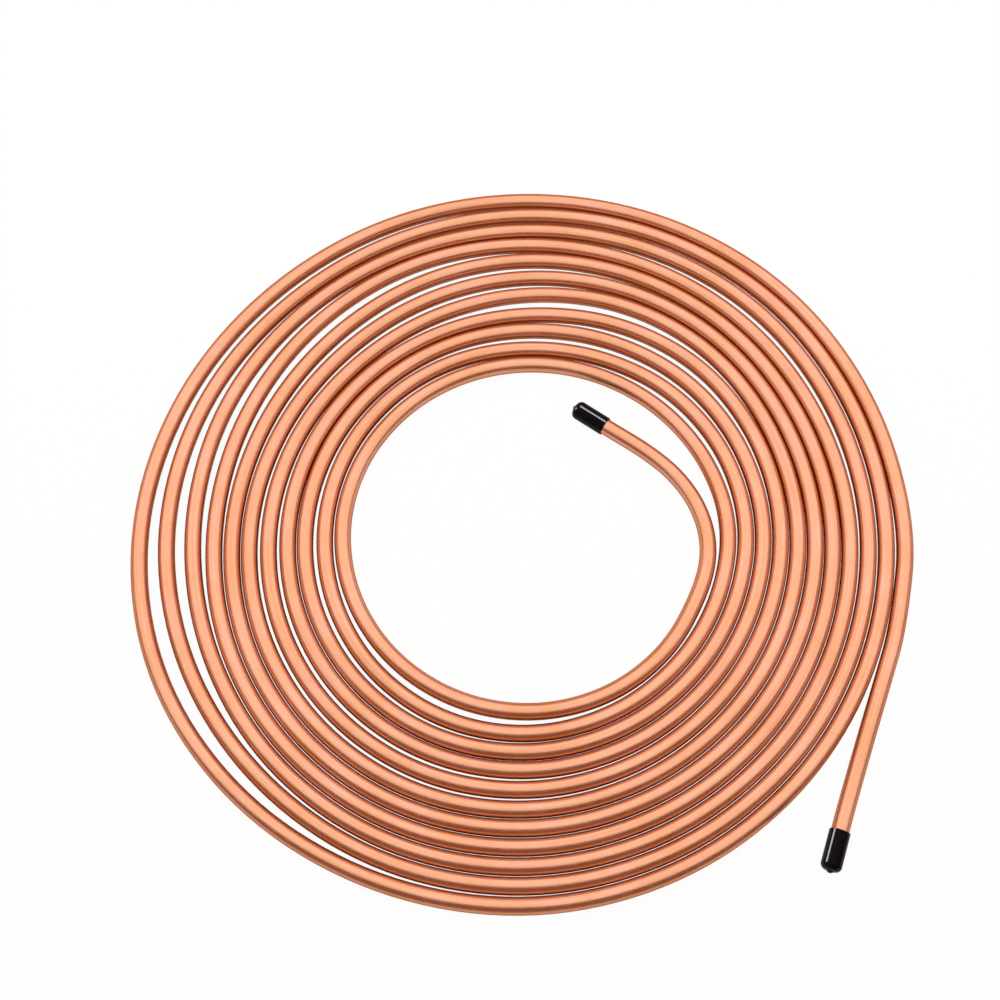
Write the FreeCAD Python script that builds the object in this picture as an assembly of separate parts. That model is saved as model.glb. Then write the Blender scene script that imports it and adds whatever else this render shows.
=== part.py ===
import FreeCAD, Part
import math
import os

# Flat coil of 1/4 in copper tube, 25 ft long, lying on a level floor.
# Millimetres, +Z up, floor at Z = 0, origin under the middle of the whole part.
# The tube starts at its outer end, runs up to the coil, winds inwards
# counterclockwise as seen from above, and ends inside the coil.

# Tube
TUBE_OD = 6.35
TUBE_WALL = 0.71

# Vinyl caps pushed onto the two ends
CAP_WALL = 0.5
CAP_CLEARANCE = 0.05
CAP_LENGTH = 15.0
CAP_FLOOR = 1.8
CAP_SHOULDER = 2.2
CAP_POINT_HEIGHT = 0.7
CAP_POINT_RADIUS = 0.5
CAP_RIM_ROUND = 0.2

# Coil: turns are numbered from the outermost, and a winding angle of 0 points along +X
COIL_CENTRE_X = 3.3
COIL_CENTRE_Y = -2.6
TURNS = 11
POINTS_PER_TURN = 16
INNERMOST_RADIUS = 75.8
INNERMOST_SHIFT_X = -0.9
INNERMOST_SHIFT_Y = -4.9
REST_GAP = 0.2
TAIL_REST_GAP = 0.3

# Where springy turns stand apart from the next turn inwards:
# (turn, direction in degrees, half width in degrees, extra gap in mm)
OPENINGS = [
    (0, 140, 95, 1.8),
    (0, 205, 55, 4.1),
    (1, 70, 110, 1.1),
    (1, 185, 55, 3.7),
    (2, 45, 65, 1.9),
    (2, 160, 50, 2.8),
    (3, 130, 60, 3.1),
    (4, 110, 75, 2.2),
    (5, 105, 55, 1.9),
    (5, 205, 120, 0.8),
    (6, 80, 60, 3.3),
    (6, 215, 100, 0.9),
    (7, 55, 55, 2.2),
    (8, 75, 80, 2.1),
    (8, 200, 85, 1.1),
    (9, 40, 50, 2.0),
    (9, 125, 60, 0.9),
    (9, 245, 70, 2.0),
    (10, 45, 90, 6.5),
]

# Free ends between the caps and the winding: from the outer cap's rim to the first
# corner of the winding, then from its last corner to the inner cap's rim, each
# point as a distance from that corner
OUTER_TAIL = [(-28.8, -74.9), (-26.5, -68.4), (-17.5, -44.9), (-8.3, -21.4)]
INNER_TAIL = [(3.9, 16.4), (1.1, 32.2), (-7.1, 46.2), (-18.5, 56.6), (-31.7, 65.2), (-34.4, 67.1)]

# An arc takes this share of the shorter of the two runs that it joins
ARC_SHARE = 0.45

FULL_TURN = 360
LAST_TURN_START = FULL_TURN * (TURNS - 1)
TUBE_RADIUS = TUBE_OD / 2
CAP_RADIUS = TUBE_RADIUS + CAP_CLEARANCE + CAP_WALL
CAP_DEPTH = CAP_LENGTH - CAP_FLOOR
CAPPED_RUN = CAP_DEPTH - CAP_CLEARANCE


def pitch(angle):
    """Distance from the turn at this winding angle to the next turn inwards."""
    distance = TUBE_OD + REST_GAP
    for turn, direction, half_width, extra in OPENINGS:
        offset = (angle - FULL_TURN * turn - direction) / half_width
        if abs(offset) < 1:
            distance += extra * math.cos(math.pi / 2 * offset) ** 2
    return distance


def coil_radius(angle):
    """Radius of the winding: the innermost turn, plus the pitches outside it."""
    turns_inside = max(0, math.ceil((LAST_TURN_START - angle) / FULL_TURN))
    inner_angle = angle + FULL_TURN * turns_inside
    radius = INNERMOST_RADIUS
    radius += INNERMOST_SHIFT_X * math.cos(math.radians(angle))
    radius += INNERMOST_SHIFT_Y * math.sin(math.radians(angle))
    radius -= pitch(LAST_TURN_START) * (inner_angle - LAST_TURN_START) / FULL_TURN
    for turn in range(turns_inside):
        radius += pitch(angle + FULL_TURN * turn)
    return radius


def winding_corner(angle, span, extra):
    """A corner set outwards so that its runs, span degrees apart, touch the winding's radius."""
    radius = (coil_radius(angle) + extra) / math.cos(math.radians(span / 2))
    x = radius * math.cos(math.radians(angle))
    y = radius * math.sin(math.radians(angle))
    return (x, y, TUBE_RADIUS)


def coil_points():
    """Corners of the winding: the tube meets it along the tangent one step ahead of the first."""
    step = FULL_TURN / POINTS_PER_TURN
    points = [winding_corner(-(step + step / 2) / 2, step / 2, TAIL_REST_GAP)]
    for index in range(TURNS * POINTS_PER_TURN):
        points.append(winding_corner(index * step, step, 0))
    return points


def tail_points(corner, tail, cap_run):
    """Points of a free end: its run at the cap lies as high as the cap's radius."""
    points = []
    for index, (x, y) in enumerate(tail):
        height = CAP_RADIUS if index in cap_run else TUBE_RADIUS
        points.append((corner[0] + x, corner[1] + y, height))
    return points


def route():
    """The tube's path as corners, from the outer cap's rim to the inner cap's rim."""
    inner_rim = len(INNER_TAIL) - 1
    winding = coil_points()
    points = tail_points(winding[0], OUTER_TAIL, (0, 1))
    points += winding
    points += tail_points(winding[-1], INNER_TAIL, (inner_rim - 1, inner_rim))
    centre = FreeCAD.Vector(COIL_CENTRE_X, COIL_CENTRE_Y, 0)
    return [FreeCAD.Vector(*point) + centre for point in points]


def tube_end(rim, neighbour):
    """Where the tube ends inside the cap: straight on past the cap's rim."""
    outwards = rim - neighbour
    outwards.normalize()
    return rim + outwards * CAPPED_RUN


def rounded_path(points, start, end):
    """Straight runs joined by tangent arcs from start to end, as one wire, with the arcs' radii."""
    edges = []
    radii = []
    last = start
    for before, corner, after in zip(points, points[1:], points[2:]):
        back = before - corner
        ahead = after - corner
        cut = ARC_SHARE * min(back.Length, ahead.Length)
        back.normalize()
        ahead.normalize()
        half_turn = (math.pi - back.getAngle(ahead)) / 2
        radius = cut / math.tan(half_turn)
        inwards = back + ahead
        inwards.normalize()
        arc_start = corner + back * cut
        arc_middle = corner + inwards * (radius / math.cos(half_turn) - radius)
        arc_end = corner + ahead * cut
        edges.append(Part.LineSegment(last, arc_start).toShape())
        edges.append(Part.Arc(arc_start, arc_middle, arc_end).toShape())
        radii.append(radius)
        last = arc_end
    edges.append(Part.LineSegment(last, end).toShape())
    return Part.Wire(edges), radii


def swept_faces(path, radius, start, direction):
    """The outside faces of a round bar along the path, without its two ends."""
    section = Part.Face(Part.Wire(Part.makeCircle(radius, start, direction)))
    bar = path.makePipe(section)
    return [face for face in bar.Faces if not isinstance(face.Surface, Part.Plane)]


def ring_face(centre, direction):
    """The cut end of the tube."""
    outside = Part.Wire(Part.makeCircle(TUBE_RADIUS, centre, direction))
    inside = Part.Wire(Part.makeCircle(TUBE_RADIUS - TUBE_WALL, centre, direction))
    return Part.makeFace([outside, inside], "Part::FaceMakerBullseye")


def brake_tube(path, start, start_direction, end, end_direction):
    """The hollow tube: outer wall, bore and two cut ends, sewn into one solid."""
    faces = swept_faces(path, TUBE_RADIUS, start, start_direction)
    faces += swept_faces(path, TUBE_RADIUS - TUBE_WALL, start, start_direction)
    faces.append(ring_face(start, start_direction))
    faces.append(ring_face(end, end_direction))
    shell = Part.makeShell(faces)
    shell.sewShape()
    solid = Part.makeSolid(shell)
    if solid.Volume < 0:
        solid.reverse()
    return solid


def end_cap(rim, outwards):
    """Dip-moulded cap: a sleeve closed at one end, with the blunt point of its last drip."""
    bore = TUBE_RADIUS + CAP_CLEARANCE
    brow = CAP_LENGTH - CAP_POINT_HEIGHT
    shoulder = brow - CAP_SHOULDER
    bulge = CAP_SHOULDER * math.sin(math.radians(45))
    lip = CAP_RIM_ROUND * (1 - math.sin(math.radians(45)))
    flat = CAP_RADIUS - CAP_SHOULDER
    vector = FreeCAD.Vector
    outline = [
        Part.LineSegment(vector(bore, 0, 0), vector(CAP_RADIUS - CAP_RIM_ROUND, 0, 0)),
        Part.Arc(
            vector(CAP_RADIUS - CAP_RIM_ROUND, 0, 0),
            vector(CAP_RADIUS - lip, 0, lip),
            vector(CAP_RADIUS, 0, CAP_RIM_ROUND),
        ),
        Part.LineSegment(vector(CAP_RADIUS, 0, CAP_RIM_ROUND), vector(CAP_RADIUS, 0, shoulder)),
        Part.Arc(
            vector(CAP_RADIUS, 0, shoulder),
            vector(flat + bulge, 0, shoulder + bulge),
            vector(flat, 0, brow),
        ),
        Part.LineSegment(vector(flat, 0, brow), vector(CAP_POINT_RADIUS, 0, CAP_LENGTH)),
        Part.LineSegment(vector(CAP_POINT_RADIUS, 0, CAP_LENGTH), vector(0, 0, CAP_LENGTH)),
        Part.LineSegment(vector(0, 0, CAP_LENGTH), vector(0, 0, CAP_DEPTH)),
        Part.LineSegment(vector(0, 0, CAP_DEPTH), vector(bore, 0, CAP_DEPTH)),
        Part.LineSegment(vector(bore, 0, CAP_DEPTH), vector(bore, 0, 0)),
    ]
    face = Part.Face(Part.Wire([edge.toShape() for edge in outline]))
    cap = face.revolve(vector(0, 0, 0), vector(0, 0, 1), FULL_TURN)
    cap.Placement = FreeCAD.Placement(rim, FreeCAD.Rotation(vector(0, 0, 1), outwards))
    return cap


points = route()
start = tube_end(points[0], points[1])
end = tube_end(points[-1], points[-2])
path, radii = rounded_path(points, start, end)
nodes = {
    "brake_tube": brake_tube(path, start, points[1] - start, end, end - points[-2]),
    "outer_end_cap": end_cap(points[0], points[0] - points[1]),
    "inner_end_cap": end_cap(points[-1], points[-1] - points[-2]),
}

os.makedirs("parts", exist_ok=True)
for name, shape in nodes.items():
    shape.exportStep("parts/" + name + ".step")
    print(name, "valid", shape.isValid(), "solids", len(shape.Solids), "mm3", round(shape.Volume, 1))

whole = Part.makeCompound(list(nodes.values())).BoundBox
bore_radius = TUBE_RADIUS - TUBE_WALL
section = math.pi * (TUBE_RADIUS ** 2 - bore_radius ** 2)
print("tube length", round(path.Length, 1), "mm")
print("section times length", round(section * path.Length, 1), "mm3")
print("smallest arc radius", round(min(radii), 1), "largest", round(max(radii), 1), "mm")
print("inner tail arc radii", [round(radius, 1) for radius in radii[-len(INNER_TAIL):]])
print("outer tail arc radii", [round(radius, 1) for radius in radii[:len(OUTER_TAIL)]])
print("box", [round(v, 2) for v in (whole.XMin, whole.XMax, whole.YMin, whole.YMax, whole.ZMin, whole.ZMax)])
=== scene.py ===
import bpy
import math
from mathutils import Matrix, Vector


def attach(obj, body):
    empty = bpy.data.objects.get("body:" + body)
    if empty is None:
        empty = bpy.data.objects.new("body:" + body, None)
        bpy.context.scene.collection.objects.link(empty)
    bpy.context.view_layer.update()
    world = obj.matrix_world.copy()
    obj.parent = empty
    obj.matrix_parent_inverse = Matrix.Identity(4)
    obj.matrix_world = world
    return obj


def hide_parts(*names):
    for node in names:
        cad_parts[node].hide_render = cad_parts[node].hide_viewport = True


MM = 0.001

# Tube and coil, with the same values as the part: millimetres and degrees
TUBE_OD = 6.35
CAP_WALL = 0.5
CAP_CLEARANCE = 0.05
CAP_LENGTH = 15.0
CAP_FLOOR = 1.8
COIL_CENTRE_X = 3.3
COIL_CENTRE_Y = -2.6
TURNS = 11
POINTS_PER_TURN = 16
INNERMOST_RADIUS = 75.8
INNERMOST_SHIFT_X = -0.9
INNERMOST_SHIFT_Y = -4.9
REST_GAP = 0.2
TAIL_REST_GAP = 0.3

# Where the winding opens: turn, direction, half width and the extra gap to the next turn inwards
OPENINGS = [
    (0, 140, 95, 1.8),
    (0, 205, 55, 4.1),
    (1, 70, 110, 1.1),
    (1, 185, 55, 3.7),
    (2, 45, 65, 1.9),
    (2, 160, 50, 2.8),
    (3, 130, 60, 3.1),
    (4, 110, 75, 2.2),
    (5, 105, 55, 1.9),
    (5, 205, 120, 0.8),
    (6, 80, 60, 3.3),
    (6, 215, 100, 0.9),
    (7, 55, 55, 2.2),
    (8, 75, 80, 2.1),
    (8, 200, 85, 1.1),
    (9, 40, 50, 2.0),
    (9, 125, 60, 0.9),
    (9, 245, 70, 2.0),
    (10, 45, 90, 6.5),
]

# Free ends, as offsets in x and y from the winding's corner: from the outer cap's rim to the
# winding, and from the winding to the inner cap's rim
OUTER_TAIL = [(-28.8, -74.9), (-26.5, -68.4), (-17.5, -44.9), (-8.3, -21.4)]
INNER_TAIL = [(3.9, 16.4), (1.1, 32.2), (-7.1, 46.2), (-18.5, 56.6), (-31.7, 65.2), (-34.4, 67.1)]

FULL_TURN = 360
LAST_TURN_START = FULL_TURN * (TURNS - 1)
TUBE_RADIUS = TUBE_OD / 2
CAP_RADIUS = TUBE_RADIUS + CAP_CLEARANCE + CAP_WALL
CAPPED_RUN = CAP_LENGTH - CAP_FLOOR - CAP_CLEARANCE

# Camera: how it stands to the point it looks at, in millimetres and degrees
LOOK_AT = (-8.7, 7.1, 3.2)
CAMERA_DISTANCE = 538
CAMERA_ELEVATION = 67.2
LENS = 50.4
SENSOR = 36
NEAREST_SEEN = 10

# Tube mesh
SPLINE_ORDER = 3
SPLINE_STEPS = 10
TUBE_SIDES = 32

# Sizes of surface detail, in millimetres
DIE_LINE_LENGTH = 70
DIE_LINE_WIDTH = 0.9
OXIDE_PATCH = 22
SCUFF = 3
DIP_WAVE = 4
DIP_SPECK = 0.8
RELIEF = 0.02

# Surface colours
THIN_FILM = "#DAAB92"
THICK_FILM = "#D09F7B"
LINE_SHADE = "#EEDDD4"
COPPER_EDGE = "#C07050"
VINYL_BLACK = "#050507"
VINYL_DUSTY = "#0B0B0E"

# Surface gloss: roughness from the smoothest to the dullest patch, and the vinyl's index
COPPER_ROUGHNESS = (0.27, 0.37)
VINYL_ROUGHNESS = (0.08, 0.14)
VINYL_IOR = 1.18

# Sockets of a mix node that mixes colours
MIX_SHARE = 0
MIX_FIRST = 6
MIX_SECOND = 7
MIX_RESULT = 2

# Studio, in metres
FLOOR_SIZE = 4
FLOOR_WHITE_SEEN = 0.95
FLOOR_WHITE_REFLECTED = 0.2
FRONT_COLOUR = "#E0A78B"
FRONT_STRENGTH = 0.47
BACK_COLOUR = "#F0B09A"
BACK_STRENGTH = 0.75
SOFTBOX_PLACE = (0, 0.36, 0.48)
SOFTBOX_AIM = (0, 0.36, 0)
SOFTBOX_SIZE = (2.5, 1.36)
SOFTBOX_RADIANCE = 1.18
LEFT_LAMP_PLACE = (-0.69, 0.37, 0.34)
LEFT_LAMP_AIM = (0.1, -0.12, 0)
BACK_LAMP_PLACE = (0.14, 0.56, 0.85)
BACK_LAMP_AIM = (0.03, 0.04, 0)
LAMP_SIZE = (0.3, 0.3)
LAMP_RADIANCE = 60


# ---------------------------------------------------------------- route

def pitch(angle):
    """Distance from the turn at this winding angle to the next turn inwards."""
    distance = TUBE_OD + REST_GAP
    for turn, direction, half_width, extra in OPENINGS:
        offset = (angle - FULL_TURN * turn - direction) / half_width
        if abs(offset) < 1:
            distance += extra * math.cos(math.pi / 2 * offset) ** 2
    return distance


def coil_radius(angle):
    """Radius of the winding: the innermost turn, plus the pitches outside it."""
    turns_inside = max(0, math.ceil((LAST_TURN_START - angle) / FULL_TURN))
    inner_angle = angle + FULL_TURN * turns_inside
    radius = INNERMOST_RADIUS
    radius += INNERMOST_SHIFT_X * math.cos(math.radians(angle))
    radius += INNERMOST_SHIFT_Y * math.sin(math.radians(angle))
    radius -= pitch(LAST_TURN_START) * (inner_angle - LAST_TURN_START) / FULL_TURN
    for turn in range(turns_inside):
        radius += pitch(angle + FULL_TURN * turn)
    return radius


def winding_corner(angle, span, extra):
    """A corner set outwards so that its runs, span degrees apart, touch the winding's radius."""
    radius = (coil_radius(angle) + extra) / math.cos(math.radians(span / 2))
    x = radius * math.cos(math.radians(angle))
    y = radius * math.sin(math.radians(angle))
    return (x, y, TUBE_RADIUS)


def coil_points():
    """Corners of the winding: the tube meets it along the tangent one step ahead of the first."""
    step = FULL_TURN / POINTS_PER_TURN
    points = [winding_corner(-(step + step / 2) / 2, step / 2, TAIL_REST_GAP)]
    for index in range(TURNS * POINTS_PER_TURN):
        points.append(winding_corner(index * step, step, 0))
    return points


def tail_points(corner, tail, cap_run):
    """Points of a free end: its run at the cap lies as high as the cap's radius."""
    points = []
    for index, (x, y) in enumerate(tail):
        height = CAP_RADIUS if index in cap_run else TUBE_RADIUS
        points.append((corner[0] + x, corner[1] + y, height))
    return points


def tube_end(rim, neighbour):
    """Where the tube ends inside the cap: straight on past the cap's rim."""
    return rim + (rim - neighbour).normalized() * CAPPED_RUN


def route():
    """Every control point of the tube, in metres, from the outer end to the inner end."""
    inner_rim = len(INNER_TAIL) - 1
    winding = coil_points()
    points = tail_points(winding[0], OUTER_TAIL, (0, 1))
    points += winding
    points += tail_points(winding[-1], INNER_TAIL, (inner_rim - 1, inner_rim))
    points = [Vector(point) + Vector((COIL_CENTRE_X, COIL_CENTRE_Y, 0)) for point in points]
    points.insert(0, tube_end(points[0], points[1]))
    points.append(tube_end(points[-1], points[-2]))
    return [point * MM for point in points]


def centreline(points):
    """Points along one NURBS spline that has the route's points as control points."""
    curve = bpy.data.curves.new("tube_centreline", "CURVE")
    curve.dimensions = "3D"
    curve.resolution_u = SPLINE_STEPS
    spline = curve.splines.new("NURBS")
    spline.points.add(len(points) - 1)
    for control, point in zip(spline.points, points):
        control.co = (*point, 1)
    spline.order_u = SPLINE_ORDER
    spline.use_endpoint_u = True
    holder = bpy.data.objects.new("tube_centreline", curve)
    mesh = bpy.data.meshes.new_from_object(holder)
    line = [vertex.co.copy() for vertex in mesh.vertices]
    bpy.data.objects.remove(holder)
    bpy.data.curves.remove(curve)
    bpy.data.meshes.remove(mesh)
    return line


# ---------------------------------------------------------------- camera

def make_camera():
    """A camera in front of the coil that looks down on it."""
    elevation = math.radians(CAMERA_ELEVATION)
    away = Vector((0, -math.cos(elevation), math.sin(elevation)))
    data = bpy.data.cameras.new("camera")
    data.lens = LENS
    data.sensor_width = SENSOR
    data.clip_start = NEAREST_SEEN * MM
    camera = bpy.data.objects.new("camera", data)
    camera.location = (Vector(LOOK_AT) + away * CAMERA_DISTANCE) * MM
    camera.rotation_euler = away.to_track_quat("Z", "Y").to_euler()
    bpy.context.scene.collection.objects.link(camera)
    bpy.context.scene.camera = camera


# ---------------------------------------------------------------- materials

def linear(code):
    """An sRGB hex colour as linear RGBA."""
    channels = [int(code[index:index + 2], 16) / 255 for index in (1, 3, 5)]
    return [c / 12.92 if c <= 0.04045 else ((c + 0.055) / 1.055) ** 2.4 for c in channels] + [1]


def add_node(tree, kind, settings=None, links=None):
    """Adds a node, sets its properties and sockets, and links sockets to its inputs."""
    node = tree.nodes.new(kind)
    for name, value in (settings or {}).items():
        if isinstance(name, str) and hasattr(node, name):
            setattr(node, name, value)
        else:
            node.inputs[name].default_value = value
    for name, source in (links or {}).items():
        tree.links.new(source, node.inputs[name])
    return node


def per_metre(size_mm):
    """Texture scale that gives features of this size."""
    return 1 / (size_mm * MM)


def new_material(name):
    """A material with an empty node tree."""
    material = bpy.data.materials.new(name)
    material.use_nodes = True
    material.node_tree.nodes.clear()
    return material, material.node_tree


def drawn_copper():
    """Soft copper tube, cold drawn and bright annealed: a satin metal, with the die's fine
    lines along it and a thin uneven film of oxide, pink where it is thin and tan where thick."""
    material, tree = new_material("drawn_copper")
    along_tube = add_node(tree, "ShaderNodeUVMap", {"uv_map": "tube_length_and_girth"}).outputs["UV"]
    place = add_node(tree, "ShaderNodeTexCoord").outputs["Object"]

    stretched = add_node(tree, "ShaderNodeVectorMath", {
        "operation": "MULTIPLY",
        1: (per_metre(DIE_LINE_LENGTH), per_metre(DIE_LINE_WIDTH), 0),
    }, {0: along_tube}).outputs[0]
    die_lines = add_node(tree, "ShaderNodeTexNoise", {"Scale": 1.0, "Detail": 3.0, "Roughness": 0.6}, {
        "Vector": stretched}).outputs["Fac"]
    film = add_node(tree, "ShaderNodeTexNoise", {
        "Scale": per_metre(OXIDE_PATCH), "Detail": 4.0, "Roughness": 0.55}, {
        "Vector": place}).outputs["Fac"]
    scuffs = add_node(tree, "ShaderNodeTexNoise", {
        "Scale": per_metre(SCUFF), "Detail": 2.0, "Roughness": 0.5}, {"Vector": place}).outputs["Fac"]

    film_share = add_node(tree, "ShaderNodeMapRange", {
        "From Min": 0.3, "From Max": 0.72}, {"Value": film}).outputs["Result"]
    film_colour = add_node(tree, "ShaderNodeMix", {
        "data_type": "RGBA", MIX_FIRST: linear(THIN_FILM), MIX_SECOND: linear(THICK_FILM)}, {
        MIX_SHARE: film_share}).outputs[MIX_RESULT]
    line_share = add_node(tree, "ShaderNodeMapRange", {
        "From Min": 0.25, "From Max": 0.7, "To Min": 1.0, "To Max": 0.0}, {
        "Value": die_lines}).outputs["Result"]
    colour = add_node(tree, "ShaderNodeMix", {
        "data_type": "RGBA", "blend_type": "MULTIPLY", MIX_SECOND: linear(LINE_SHADE)}, {
        MIX_SHARE: line_share, MIX_FIRST: film_colour}).outputs[MIX_RESULT]
    roughness = add_node(tree, "ShaderNodeMapRange", {
        "From Min": 0.3, "From Max": 0.75,
        "To Min": COPPER_ROUGHNESS[0], "To Max": COPPER_ROUGHNESS[1]}, {"Value": scuffs}).outputs["Result"]
    bump = add_node(tree, "ShaderNodeBump", {"Strength": 0.25, "Distance": RELIEF * MM}, {
        "Height": die_lines}).outputs["Normal"]

    shader = add_node(tree, "ShaderNodeBsdfPrincipled", {
        "Metallic": 1.0,
        "Specular Tint": linear(COPPER_EDGE),
    }, {"Base Color": colour, "Roughness": roughness, "Normal": bump})
    add_node(tree, "ShaderNodeOutputMaterial", None, {"Surface": shader.outputs["BSDF"]})
    return material


def dipped_vinyl():
    """Soft black PVC, dip moulded: a wet-looking gloss over faint waves where the dip ran.
    Its index is set below that of plain PVC, so that little of the walls' light lifts the black."""
    material, tree = new_material("dipped_vinyl")
    place = add_node(tree, "ShaderNodeTexCoord").outputs["Object"]
    waves = add_node(tree, "ShaderNodeTexNoise", {
        "Scale": per_metre(DIP_WAVE), "Detail": 1.5}, {"Vector": place}).outputs["Fac"]
    dust = add_node(tree, "ShaderNodeTexNoise", {
        "Scale": per_metre(DIP_SPECK), "Detail": 3.0}, {"Vector": place}).outputs["Fac"]
    dust_share = add_node(tree, "ShaderNodeMapRange", {
        "From Min": 0.35, "From Max": 0.75}, {"Value": dust}).outputs["Result"]
    colour = add_node(tree, "ShaderNodeMix", {
        "data_type": "RGBA", MIX_FIRST: linear(VINYL_BLACK), MIX_SECOND: linear(VINYL_DUSTY)}, {
        MIX_SHARE: dust_share}).outputs[MIX_RESULT]
    roughness = add_node(tree, "ShaderNodeMapRange", {
        "From Min": 0.3, "From Max": 0.8,
        "To Min": VINYL_ROUGHNESS[0], "To Max": VINYL_ROUGHNESS[1]}, {"Value": dust}).outputs["Result"]
    bump = add_node(tree, "ShaderNodeBump", {"Strength": 0.2, "Distance": RELIEF * MM}, {
        "Height": waves}).outputs["Normal"]
    shader = add_node(tree, "ShaderNodeBsdfPrincipled", {"IOR": VINYL_IOR}, {
        "Base Color": colour, "Roughness": roughness, "Normal": bump})
    add_node(tree, "ShaderNodeOutputMaterial", None, {"Surface": shader.outputs["BSDF"]})
    return material


# ---------------------------------------------------------------- pieces

def mesh_object(name, vertices, faces, material):
    """A smooth-shaded mesh in the scene."""
    mesh = bpy.data.meshes.new(name)
    mesh.from_pydata(vertices, [], faces)
    mesh.polygons.foreach_set("use_smooth", [True] * len(mesh.polygons))
    mesh.materials.append(material)
    piece = bpy.data.objects.new(name, mesh)
    bpy.context.scene.collection.objects.link(piece)
    return piece


def copper_tube(line, material):
    """A round tube along the centreline, with a map of its length and girth in metres."""
    up = Vector((0, 0, 1))
    vertices = []
    lengths = [0]
    for index, point in enumerate(line):
        before = line[max(index - 1, 0)]
        after = line[min(index + 1, len(line) - 1)]
        along = (after - before).normalized()
        across = along.cross(up).normalized()
        over = across.cross(along)
        if index > 0:
            lengths.append(lengths[-1] + (point - before).length)
        for side in range(TUBE_SIDES):
            angle = 2 * math.pi * side / TUBE_SIDES
            radial = across * math.sin(angle) - over * math.cos(angle)
            vertices.append(point + radial * TUBE_RADIUS * MM)
    girth_step = 2 * math.pi * TUBE_RADIUS * MM / TUBE_SIDES
    faces = []
    places = []
    for ring in range(len(line) - 1):
        for side in range(TUBE_SIDES):
            a = ring * TUBE_SIDES + side
            b = ring * TUBE_SIDES + (side + 1) % TUBE_SIDES
            faces.append((a, b, b + TUBE_SIDES, a + TUBE_SIDES))
            low, high = lengths[ring], lengths[ring + 1]
            left, right = side * girth_step, (side + 1) * girth_step
            places += [(low, left), (low, right), (high, right), (high, left)]
    last_ring = len(vertices) - TUBE_SIDES
    faces.append(tuple(reversed(range(TUBE_SIDES))))
    faces.append(tuple(range(last_ring, len(vertices))))
    places += [(0, 0)] * (2 * TUBE_SIDES)
    tube = mesh_object("copper_tube", vertices, faces, material)
    uv_map = tube.data.uv_layers.new(name="tube_length_and_girth")
    uv_map.data.foreach_set("uv", [number for place in places for number in place])
    return tube


# ---------------------------------------------------------------- stage

def make_floor():
    """A matt white floor. To the camera it is almost the plain white of the backdrop, with a
    trace of the coil's shadow. A reflection sees less of that white and more of its lit surface."""
    material, tree = new_material("matt_white_floor")
    path = add_node(tree, "ShaderNodeLightPath")
    diffuse = add_node(tree, "ShaderNodeBsdfDiffuse", {"Color": linear("#F2F2F2")})
    white = add_node(tree, "ShaderNodeEmission", {"Color": linear("#FFFFFF"), "Strength": 1.0})
    seen = add_node(tree, "ShaderNodeMath", {"operation": "MAXIMUM"}, {
        0: path.outputs["Is Camera Ray"], 1: path.outputs["Is Transmission Ray"]})
    camera_share = add_node(tree, "ShaderNodeMath", {"operation": "MULTIPLY", 1: FLOOR_WHITE_SEEN}, {
        0: seen.outputs[0]})
    share = add_node(tree, "ShaderNodeMath", {"operation": "MULTIPLY_ADD", 1: FLOOR_WHITE_REFLECTED}, {
        0: path.outputs["Is Glossy Ray"], 2: camera_share.outputs[0]})
    mix = add_node(tree, "ShaderNodeMixShader", None, {
        0: share.outputs[0], 1: diffuse.outputs[0], 2: white.outputs[0]})
    add_node(tree, "ShaderNodeOutputMaterial", None, {"Surface": mix.outputs[0]})
    half = FLOOR_SIZE / 2
    corners = [(-half, -half, 0), (half, -half, 0), (half, half, 0), (-half, half, 0)]
    floor = mesh_object("floor", corners, [(0, 1, 2, 3)], material)
    return floor


def make_light(name, place, aim, size, radiance, flagged_off):
    """A rectangular soft light that the camera can't see, kept off some pieces by a flag.
    Its power follows from the brightness of its face."""
    data = bpy.data.lights.new(name, "AREA")
    data.shape = "RECTANGLE"
    data.size, data.size_y = size
    data.energy = radiance * math.pi * size[0] * size[1]
    light = bpy.data.objects.new(name, data)
    light.location = place
    light.visible_camera = False
    light.rotation_euler = (Vector(place) - Vector(aim)).to_track_quat("Z", "Y").to_euler()
    bpy.context.scene.collection.objects.link(light)
    flag = bpy.data.collections.new(name + "_flag")
    for piece in flagged_off:
        flag.objects.link(piece)
    for held in flag.collection_objects:
        held.light_linking.link_state = "EXCLUDE"
    light.light_linking.receiver_collection = flag


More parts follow.
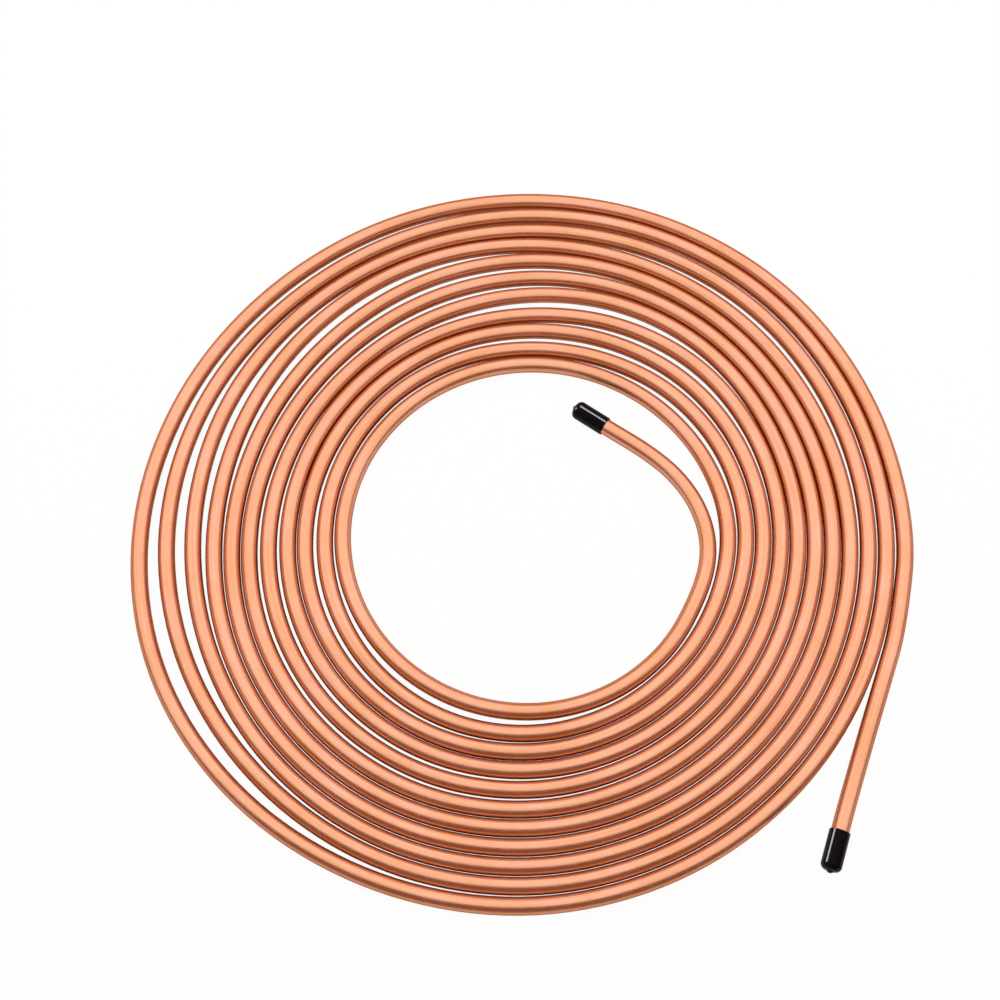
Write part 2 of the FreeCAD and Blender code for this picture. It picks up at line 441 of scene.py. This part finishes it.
def make_world():
    """Warm walls round the table, dim in front and lighter behind, that light the coil and show
    in its surface. The camera sees plain white."""
    world = bpy.data.worlds.new("warm_room")
    world.use_nodes = True
    tree = world.node_tree
    direction = add_node(tree, "ShaderNodeTexCoord").outputs["Generated"]
    parts = add_node(tree, "ShaderNodeSeparateXYZ", None, {"Vector": direction}).outputs
    share = add_node(tree, "ShaderNodeMapRange", {
        "interpolation_type": "SMOOTHSTEP", "From Min": -0.2, "From Max": 0.4}, {
        "Value": parts["Y"]}).outputs["Result"]
    front = [channel * FRONT_STRENGTH for channel in linear(FRONT_COLOUR)]
    back = [channel * BACK_STRENGTH for channel in linear(BACK_COLOUR)]
    walls = add_node(tree, "ShaderNodeMix", {
        "data_type": "RGBA", MIX_FIRST: front, MIX_SECOND: back}, {MIX_SHARE: share})
    path = add_node(tree, "ShaderNodeLightPath").outputs
    seen = add_node(tree, "ShaderNodeMath", {"operation": "MAXIMUM"}, {
        0: path["Is Camera Ray"], 1: path["Is Transmission Ray"]}).outputs[0]
    light = add_node(tree, "ShaderNodeMix", {
        "data_type": "RGBA", MIX_SECOND: linear("#FFFFFF")}, {
        MIX_SHARE: seen, MIX_FIRST: walls.outputs[MIX_RESULT]})
    tree.links.new(light.outputs[MIX_RESULT], tree.nodes["Background"].inputs["Color"])
    bpy.context.scene.world = world


# ---------------------------------------------------------------- scene

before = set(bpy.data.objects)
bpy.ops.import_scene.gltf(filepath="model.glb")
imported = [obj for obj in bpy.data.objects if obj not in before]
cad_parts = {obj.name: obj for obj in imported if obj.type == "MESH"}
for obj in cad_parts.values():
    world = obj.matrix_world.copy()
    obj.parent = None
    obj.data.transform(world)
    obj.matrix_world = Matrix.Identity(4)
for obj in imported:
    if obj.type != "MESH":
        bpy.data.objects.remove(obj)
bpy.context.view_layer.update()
bpy.context.scene.view_settings.view_transform = "Standard"

make_camera()
line = centreline(route())
copper = drawn_copper()
vinyl = dipped_vinyl()
tube = copper_tube(line, copper)
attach(tube, "root")
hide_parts("brake_tube")
caps = [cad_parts["outer_end_cap"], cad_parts["inner_end_cap"]]
for cap in caps:
    cap.data.materials.clear()
    cap.data.materials.append(vinyl)

floor = make_floor()
make_world()
make_light("overhead_softbox", SOFTBOX_PLACE, SOFTBOX_AIM, SOFTBOX_SIZE, SOFTBOX_RADIANCE, caps)
make_light("left_lamp", LEFT_LAMP_PLACE, LEFT_LAMP_AIM, LAMP_SIZE, LAMP_RADIANCE, (tube, floor))
make_light("back_lamp", BACK_LAMP_PLACE, BACK_LAMP_AIM, LAMP_SIZE, LAMP_RADIANCE, (tube, floor))
